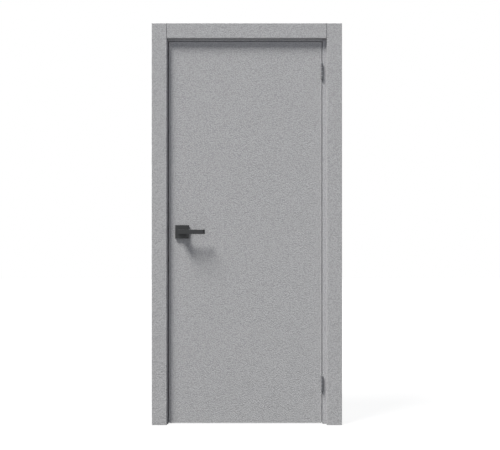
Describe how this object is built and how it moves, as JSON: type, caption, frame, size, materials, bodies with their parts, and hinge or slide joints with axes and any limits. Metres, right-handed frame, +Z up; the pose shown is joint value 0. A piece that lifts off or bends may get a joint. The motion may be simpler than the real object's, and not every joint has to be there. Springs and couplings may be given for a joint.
{
  "type": "interior door with frame and lever handle",
  "caption": "Flush grey interior door leaf on barrel hinges in a lined frame with flat casings, and a square rose lever handle on each face.",
  "frame": {"origin": "middle of the hinge jamb's foot, at floor level, half way through the wall", "axes": "+X to the right seen from the side the leaf opens to, from the lock jamb to the hinge jamb; +Y into the wall; +Z up"},
  "size_m": [0.994, 0.167, 2.1],
  "materials": {
    "leaf_film": "fine stipple film",
    "casing_film": "fine stipple film",
    "jamb_film": "fine stipple film",
    "edge_band": "matt",
    "seal_rubber": "matt",
    "hinge_metal": "satin",
    "washer_plastic": "satin",
    "handle_metal": "satin",
    "strike_metal": "satin",
    "latch_plastic": "satin",
    "spindle_steel": "drawn"
  },
  "bodies": {
    "frame": {"hinge_jamb": "jamb_film", "lock_jamb": "jamb_film", "head_jamb": "jamb_film", "front_casing_left": "casing_film", "front_casing_right": "casing_film", "front_casing_head": "casing_film", "back_casing_left": "casing_film", "back_casing_right": "casing_film", "back_casing_head": "casing_film", "lock_seal": "seal_rubber", "hinge_seal": "seal_rubber", "head_seal": "seal_rubber", "strike_plate": "strike_metal", "upper_hinge_jamb_half": "hinge_metal", "lower_hinge_jamb_half": "hinge_metal", "upper_hinge_pin": "hinge_metal", "lower_hinge_pin": "hinge_metal", "upper_hinge_washer_1": "washer_plastic", "upper_hinge_washer_2": "washer_plastic", "upper_hinge_washer_3": "washer_plastic", "lower_hinge_washer_1": "washer_plastic", "lower_hinge_washer_2": "washer_plastic", "lower_hinge_washer_3": "washer_plastic"},
    "leaf": {"leaf_slab": "leaf_film", "lock_edge_band": "edge_band", "hinge_edge_band": "edge_band", "top_edge_band": "edge_band", "bottom_edge_band": "edge_band", "upper_hinge_leaf_half": "hinge_metal", "lower_hinge_leaf_half": "hinge_metal", "lock_faceplate": "strike_metal", "latch": "latch_plastic", "front_rosette": "handle_metal", "back_rosette": "handle_metal"},
    "handle": {"front_lever": "handle_metal", "back_lever": "handle_metal", "spindle": "spindle_steel"}
  },
  "joints": [
    {"name": "leaf_swing", "type": "hinge", "parent": "frame", "child": "leaf", "pos_m": [-0.0195, -0.047, 1], "axis": [0, 0, 1], "range_deg": [0, 135]},
    {"name": "handle_turn", "type": "hinge", "parent": "leaf", "child": "handle", "pos_m": [-0.754, -0.021, 1.01], "axis": [0, 1, 0], "range_deg": [0, 45], "stiffness_Nm_per_rad": 1.5, "springref_deg": -34.38}
  ]
}
